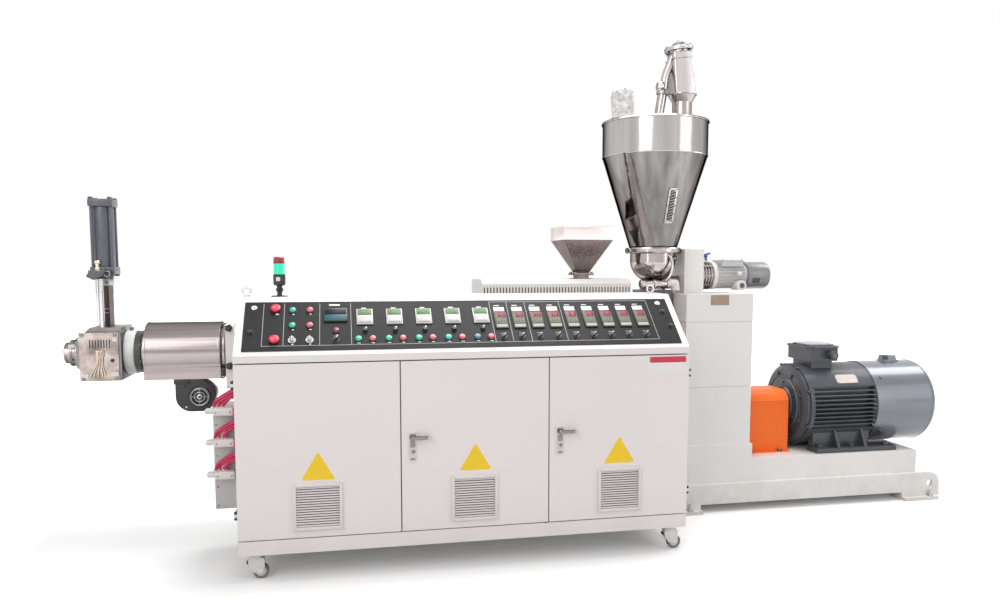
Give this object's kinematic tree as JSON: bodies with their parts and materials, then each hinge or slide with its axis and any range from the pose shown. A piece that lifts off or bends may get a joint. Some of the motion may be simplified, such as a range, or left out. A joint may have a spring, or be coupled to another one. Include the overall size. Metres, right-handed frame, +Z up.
{
  "type": "twin-screw plastic extruder",
  "caption": "Plastic extruder with a slanted control console, heated barrel, screen changer, hopper feeder, gearbox tower and drive motor on one steel base.",
  "frame": {"origin": "on the floor at the centre of the base's corner anchor holes, under the barrel's centre plane", "axes": "+X along the machine from the die towards the main motor, +Y away from the control console, +Z up"},
  "size_m": [5.27, 1.3113, 2.872],
  "materials": {
    "bare_steel": "turned steel",
    "blower_black": "black powder coat",
    "button_plastic": "moulded buttons and knobs",
    "cable_crimson": "crimson silicone sheath",
    "cast_grey": "grey primer on castings",
    "caster_zinc": "zinc plated pressings",
    "chrome": "polished",
    "console_white": "fine-textured warm white powder coat",
    "cover_cream": "cream powder coat",
    "filter_cloth": "woven white filter cloth",
    "guard_orange": "gloss orange enamel",
    "hinge_black": "black zinc die casting",
    "hood_white": "moulded connector hoods",
    "instrument_grey": "moulded housings",
    "lamp_plastic": "moulded lamp stack",
    "light_grey": "light grey enamel",
    "machine_white": "satin enamel on castings and plate",
    "motor_cover_grey": "metallic grey enamel",
    "motor_grey": "slate grey enamel over cast iron",
    "panel_black": "satin black panel sheet",
    "stainless": "brushed and polished stainless sheet",
    "wheel_rubber": "black tread"
  },
  "bodies": {
    "machine": {"barrel": "bare_steel", "barrel_blowers": "blower_black", "barrel_covers": "stainless", "barrel_end_plate": "machine_white", "barrel_rear_cover": "cover_cream", "barrel_support": "machine_white", "base_deck": "machine_white", "base_feet": "machine_white", "base_frame": "machine_white", "changer_block": "cast_grey", "changer_cover": "stainless", "clamp_ring": "light_grey", "console_back": "console_white", "console_frame": "console_white", "console_head": "console_white", "console_plinth": "console_white", "console_sides": "console_white", "control_panel": "panel_black", "coupling_guard": "guard_orange", "cylinder_pillars": "chrome", "die_nozzle": "bare_steel", "door_hinges": "hinge_black", "drive_coupling": "bare_steel", "dust_filter": "filter_cloth", "feed_throat": "cast_grey", "feeder_drive": "light_grey", "feeder_housing": "machine_white", "gearbox_housing": "machine_white", "gearbox_pedestal": "machine_white", "heater_cables": "cable_crimson", "hopper_base": "stainless", "hopper_lid": "stainless", "hopper_shell": "stainless", "hydraulic_cylinder": "motor_grey", "lifting_eyes": "chrome", "motor_end_shield": "motor_grey", "motor_fan_cover": "motor_cover_grey", "motor_frame": "motor_grey", "motor_terminal_box": "motor_grey", "panel_controls": "button_plastic", "panel_instruments": "instrument_grey", "plug_hoods": "hood_white", "signal_tower": "lamp_plastic", "vacuum_loader": "stainless", "vent_funnel": "stainless", "wiring_box": "cast_grey"},
    "left_door": {"door_left": "console_white"},
    "middle_door": {"door_middle": "console_white"},
    "right_door": {"door_right": "console_white"},
    "middle_latch": {"latch_lever_middle": "light_grey"},
    "right_latch": {"latch_lever_right": "light_grey"},
    "screen_slide": {"changer_slide": "stainless"},
    "caster_1": {"caster_fork_1": "caster_zinc"},
    "wheel_1": {"caster_wheel_1": "wheel_rubber"},
    "caster_2": {"caster_fork_2": "caster_zinc"},
    "wheel_2": {"caster_wheel_2": "wheel_rubber"},
    "caster_3": {"caster_fork_3": "caster_zinc"},
    "wheel_3": {"caster_wheel_3": "wheel_rubber"},
    "caster_4": {"caster_fork_4": "caster_zinc"},
    "wheel_4": {"caster_wheel_4": "wheel_rubber"}
  },
  "joints": [
    {"name": "left_door_hinge", "type": "hinge", "parent": "machine", "child": "left_door", "pos_m": [-2.134, -0.899, 0.6], "axis": [0, 0, -1], "range_deg": [0, 105]},
    {"name": "middle_door_hinge", "type": "hinge", "parent": "machine", "child": "middle_door", "pos_m": [-0.63, -0.901, 0.6], "axis": [0, 0, 1], "range_deg": [0, 105]},
    {"name": "right_door_hinge", "type": "hinge", "parent": "machine", "child": "right_door", "pos_m": [0.136, -0.899, 0.6], "axis": [0, 0, 1], "range_deg": [0, 105]},
    {"name": "middle_latch_turn", "type": "hinge", "parent": "middle_door", "child": "middle_latch", "pos_m": [-1.305, -0.93, 0.668], "axis": [0, 1, 0], "range_deg": [0, 90]},
    {"name": "right_latch_turn", "type": "hinge", "parent": "right_door", "child": "right_latch", "pos_m": [-0.565, -0.93, 0.668], "axis": [0, 1, 0], "range_deg": [0, 90]},
    {"name": "screen_slide_stroke", "type": "slide", "parent": "machine", "child": "screen_slide", "axis": [0, 0, -1], "range_m": [0, 0.2]},
    {"name": "caster_1_swivel", "type": "hinge", "parent": "machine", "child": "caster_1", "pos_m": [-2.056, -0.85, 0.1], "axis": [0, 0, 1], "continuous": true},
    {"name": "wheel_1_roll", "type": "hinge", "parent": "caster_1", "child": "wheel_1", "pos_m": [-2.03, -0.85, 0.037], "axis": [0, 1, 0], "continuous": true},
    {"name": "caster_2_swivel", "type": "hinge", "parent": "machine", "child": "caster_2", "pos_m": [0.058, -0.85, 0.1], "axis": [0, 0, 1], "continuous": true},
    {"name": "wheel_2_roll", "type": "hinge", "parent": "caster_2", "child": "wheel_2", "pos_m": [0.084, -0.85, 0.037], "axis": [0, 1, 0], "continuous": true},
    {"name": "caster_3_swivel", "type": "hinge", "parent": "machine", "child": "caster_3", "pos_m": [-2.056, -0.44, 0.1], "axis": [0, 0, 1], "continuous": true},
    {"name": "wheel_3_roll", "type": "hinge", "parent": "caster_3", "child": "wheel_3", "pos_m": [-2.03, -0.44, 0.037], "axis": [0, 1, 0], "continuous": true},
    {"name": "caster_4_swivel", "type": "hinge", "parent": "machine", "child": "caster_4", "pos_m": [0.058, -0.44, 0.1], "axis": [0, 0, 1], "continuous": true},
    {"name": "wheel_4_roll", "type": "hinge", "parent": "caster_4", "child": "wheel_4", "pos_m": [0.084, -0.44, 0.037], "axis": [0, 1, 0], "continuous": true}
  ]
}
